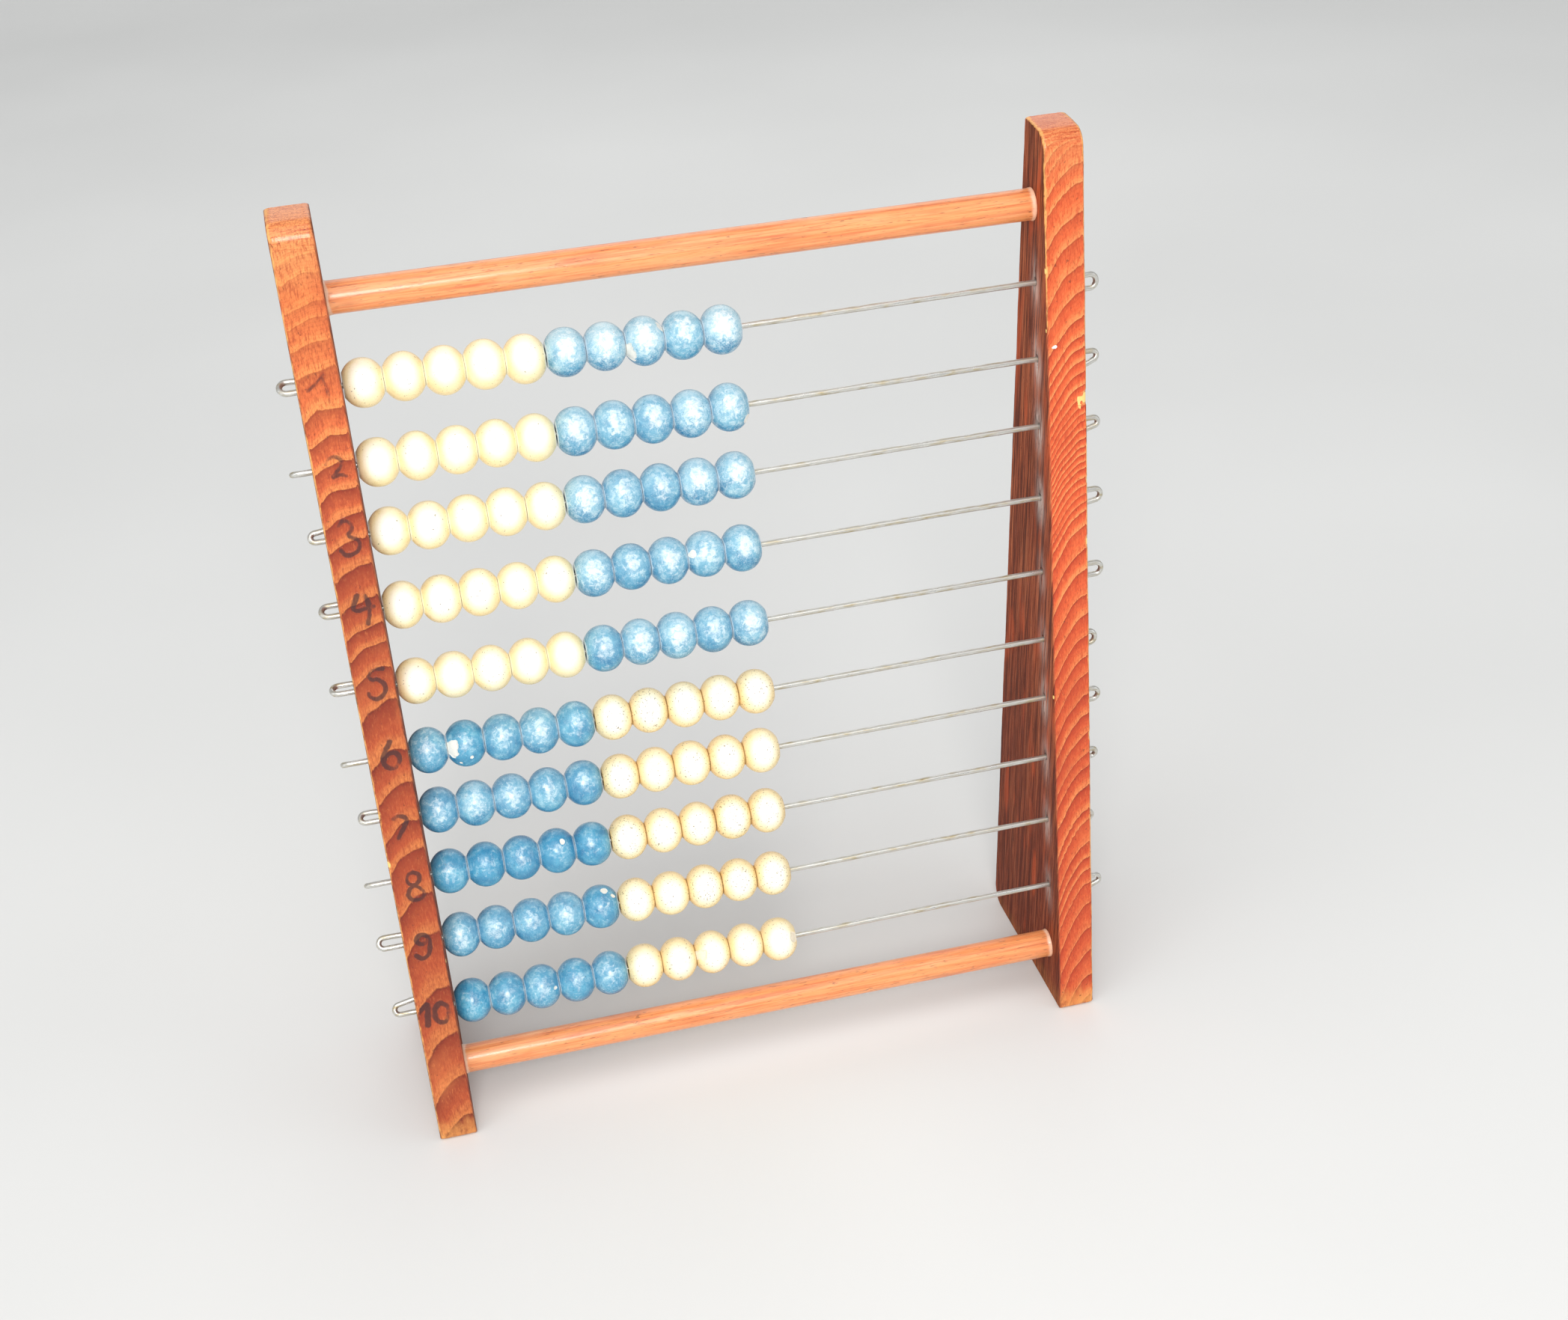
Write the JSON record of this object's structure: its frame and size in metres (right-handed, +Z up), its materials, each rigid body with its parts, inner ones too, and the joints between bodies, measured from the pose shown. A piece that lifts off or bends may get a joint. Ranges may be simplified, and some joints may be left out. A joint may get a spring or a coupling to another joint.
{
  "type": "abacus",
  "caption": "Upright counting frame: two tapered wooden side boards, two dowel rails and horizontal wires carrying sliding beads in two colours.",
  "frame": {"origin": "on the supporting surface, under the middle of the whole object's box", "axes": "+X to the right along the wires, +Y to the back, +Z up"},
  "size_m": [0.2136, 0.0608, 0.2687],
  "materials": {
    "board_wood": "satin, red-brown stained softwood with worn edges",
    "dowel_wood": "satin, stained hardwood rod",
    "cream_paint": "semi-gloss cream paint on wood, soiled",
    "blue_paint": "semi-gloss blue paint on wood, worn",
    "wire_steel": "dull drawn wire with light tarnish"
  },
  "bodies": {
    "frame": {"left_side_board": "board_wood", "right_side_board": "board_wood", "top_dowel": "dowel_wood", "bottom_dowel": "dowel_wood"},
    "row_01_wire": {"row_01_wire": "wire_steel"},
    "row_01_left_five": {"row_01_cream_beads": "cream_paint"},
    "row_01_right_five": {"row_01_blue_beads": "blue_paint"},
    "row_02_wire": {"row_02_wire": "wire_steel"},
    "row_02_left_five": {"row_02_cream_beads": "cream_paint"},
    "row_02_right_five": {"row_02_blue_beads": "blue_paint"},
    "row_03_wire": {"row_03_wire": "wire_steel"},
    "row_03_left_five": {"row_03_cream_beads": "cream_paint"},
    "row_03_right_five": {"row_03_blue_beads": "blue_paint"},
    "row_04_wire": {"row_04_wire": "wire_steel"},
    "row_04_left_five": {"row_04_cream_beads": "cream_paint"},
    "row_04_right_five": {"row_04_blue_beads": "blue_paint"},
    "row_05_wire": {"row_05_wire": "wire_steel"},
    "row_05_left_five": {"row_05_cream_beads": "cream_paint"},
    "row_05_right_five": {"row_05_blue_beads": "blue_paint"},
    "row_06_wire": {"row_06_wire": "wire_steel"},
    "row_06_left_five": {"row_06_blue_beads": "blue_paint"},
    "row_06_right_five": {"row_06_cream_beads": "cream_paint"},
    "row_07_wire": {"row_07_wire": "wire_steel"},
    "row_07_left_five": {"row_07_blue_beads": "blue_paint"},
    "row_07_right_five": {"row_07_cream_beads": "cream_paint"},
    "row_08_wire": {"row_08_wire": "wire_steel"},
    "row_08_left_five": {"row_08_blue_beads": "blue_paint"},
    "row_08_right_five": {"row_08_cream_beads": "cream_paint"},
    "row_09_wire": {"row_09_wire": "wire_steel"},
    "row_09_left_five": {"row_09_blue_beads": "blue_paint"},
    "row_09_right_five": {"row_09_cream_beads": "cream_paint"},
    "row_10_wire": {"row_10_wire": "wire_steel"},
    "row_10_left_five": {"row_10_blue_beads": "blue_paint"},
    "row_10_right_five": {"row_10_cream_beads": "cream_paint"}
  },
  "joints": [
    {"name": "row_01_wire_end_play", "type": "slide", "parent": "frame", "child": "row_01_wire", "axis": [1, 0, 0], "range_m": [-0.003, 0.0022]},
    {"name": "row_01_left_five_slide", "type": "slide", "parent": "frame", "child": "row_01_left_five", "axis": [1, 0, 0], "range_m": [0, 0.0768]},
    {"name": "row_01_right_five_slide", "type": "slide", "parent": "row_01_left_five", "child": "row_01_right_five", "axis": [-1, 0, 0], "range_m": [-0.0768, 0]},
    {"name": "row_02_wire_end_play", "type": "slide", "parent": "frame", "child": "row_02_wire", "axis": [1, 0, 0], "range_m": [-0.003, 0.003]},
    {"name": "row_02_left_five_slide", "type": "slide", "parent": "frame", "child": "row_02_left_five", "axis": [1, 0, 0], "range_m": [0, 0.0768]},
    {"name": "row_02_right_five_slide", "type": "slide", "parent": "row_02_left_five", "child": "row_02_right_five", "axis": [-1, 0, 0], "range_m": [-0.0768, 0]},
    {"name": "row_03_wire_end_play", "type": "slide", "parent": "frame", "child": "row_03_wire", "axis": [1, 0, 0], "range_m": [-0.003, 0.00205]},
    {"name": "row_03_left_five_slide", "type": "slide", "parent": "frame", "child": "row_03_left_five", "axis": [1, 0, 0], "range_m": [0, 0.0768]},
    {"name": "row_03_right_five_slide", "type": "slide", "parent": "row_03_left_five", "child": "row_03_right_five", "axis": [-1, 0, 0], "range_m": [-0.0768, 0]},
    {"name": "row_04_wire_end_play", "type": "slide", "parent": "frame", "child": "row_04_wire", "axis": [1, 0, 0], "range_m": [-0.003, 0.0026]},
    {"name": "row_04_left_five_slide", "type": "slide", "parent": "frame", "child": "row_04_left_five", "axis": [1, 0, 0], "range_m": [0, 0.0768]},
    {"name": "row_04_right_five_slide", "type": "slide", "parent": "row_04_left_five", "child": "row_04_right_five", "axis": [-1, 0, 0], "range_m": [-0.0768, 0]},
    {"name": "row_05_wire_end_play", "type": "slide", "parent": "frame", "child": "row_05_wire", "axis": [1, 0, 0], "range_m": [-0.003, 0.003]},
    {"name": "row_05_left_five_slide", "type": "slide", "parent": "frame", "child": "row_05_left_five", "axis": [1, 0, 0], "range_m": [0, 0.0768]},
    {"name": "row_05_right_five_slide", "type": "slide", "parent": "row_05_left_five", "child": "row_05_right_five", "axis": [-1, 0, 0], "range_m": [-0.0768, 0]},
    {"name": "row_06_wire_end_play", "type": "slide", "parent": "frame", "child": "row_06_wire", "axis": [1, 0, 0], "range_m": [-0.00255, 0.003]},
    {"name": "row_06_left_five_slide", "type": "slide", "parent": "frame", "child": "row_06_left_five", "axis": [1, 0, 0], "range_m": [0, 0.0768]},
    {"name": "row_06_right_five_slide", "type": "slide", "parent": "row_06_left_five", "child": "row_06_right_five", "axis": [-1, 0, 0], "range_m": [-0.0768, 0]},
    {"name": "row_07_wire_end_play", "type": "slide", "parent": "frame", "child": "row_07_wire", "axis": [1, 0, 0], "range_m": [-0.003, 0.003]},
    {"name": "row_07_left_five_slide", "type": "slide", "parent": "frame", "child": "row_07_left_five", "axis": [1, 0, 0], "range_m": [0, 0.0768]},
    {"name": "row_07_right_five_slide", "type": "slide", "parent": "row_07_left_five", "child": "row_07_right_five", "axis": [-1, 0, 0], "range_m": [-0.0768, 0]},
    {"name": "row_08_wire_end_play", "type": "slide", "parent": "frame", "child": "row_08_wire", "axis": [1, 0, 0], "range_m": [-0.00295, 0.003]},
    {"name": "row_08_left_five_slide", "type": "slide", "parent": "frame", "child": "row_08_left_five", "axis": [1, 0, 0], "range_m": [0, 0.0768]},
    {"name": "row_08_right_five_slide", "type": "slide", "parent": "row_08_left_five", "child": "row_08_right_five", "axis": [-1, 0, 0], "range_m": [-0.0768, 0]},
    {"name": "row_09_wire_end_play", "type": "slide", "parent": "frame", "child": "row_09_wire", "axis": [1, 0, 0], "range_m": [-0.00155, 0.003]},
    {"name": "row_09_left_five_slide", "type": "slide", "parent": "frame", "child": "row_09_left_five", "axis": [1, 0, 0], "range_m": [0, 0.0768]},
    {"name": "row_09_right_five_slide", "type": "slide", "parent": "row_09_left_five", "child": "row_09_right_five", "axis": [-1, 0, 0], "range_m": [-0.0768, 0]},
    {"name": "row_10_wire_end_play", "type": "slide", "parent": "frame", "child": "row_10_wire", "axis": [1, 0, 0], "range_m": [-0.003, 0.003]},
    {"name": "row_10_left_five_slide", "type": "slide", "parent": "frame", "child": "row_10_left_five", "axis": [1, 0, 0], "range_m": [0, 0.0768]},
    {"name": "row_10_right_five_slide", "type": "slide", "parent": "row_10_left_five", "child": "row_10_right_five", "axis": [-1, 0, 0], "range_m": [-0.0768, 0]}
  ]
}
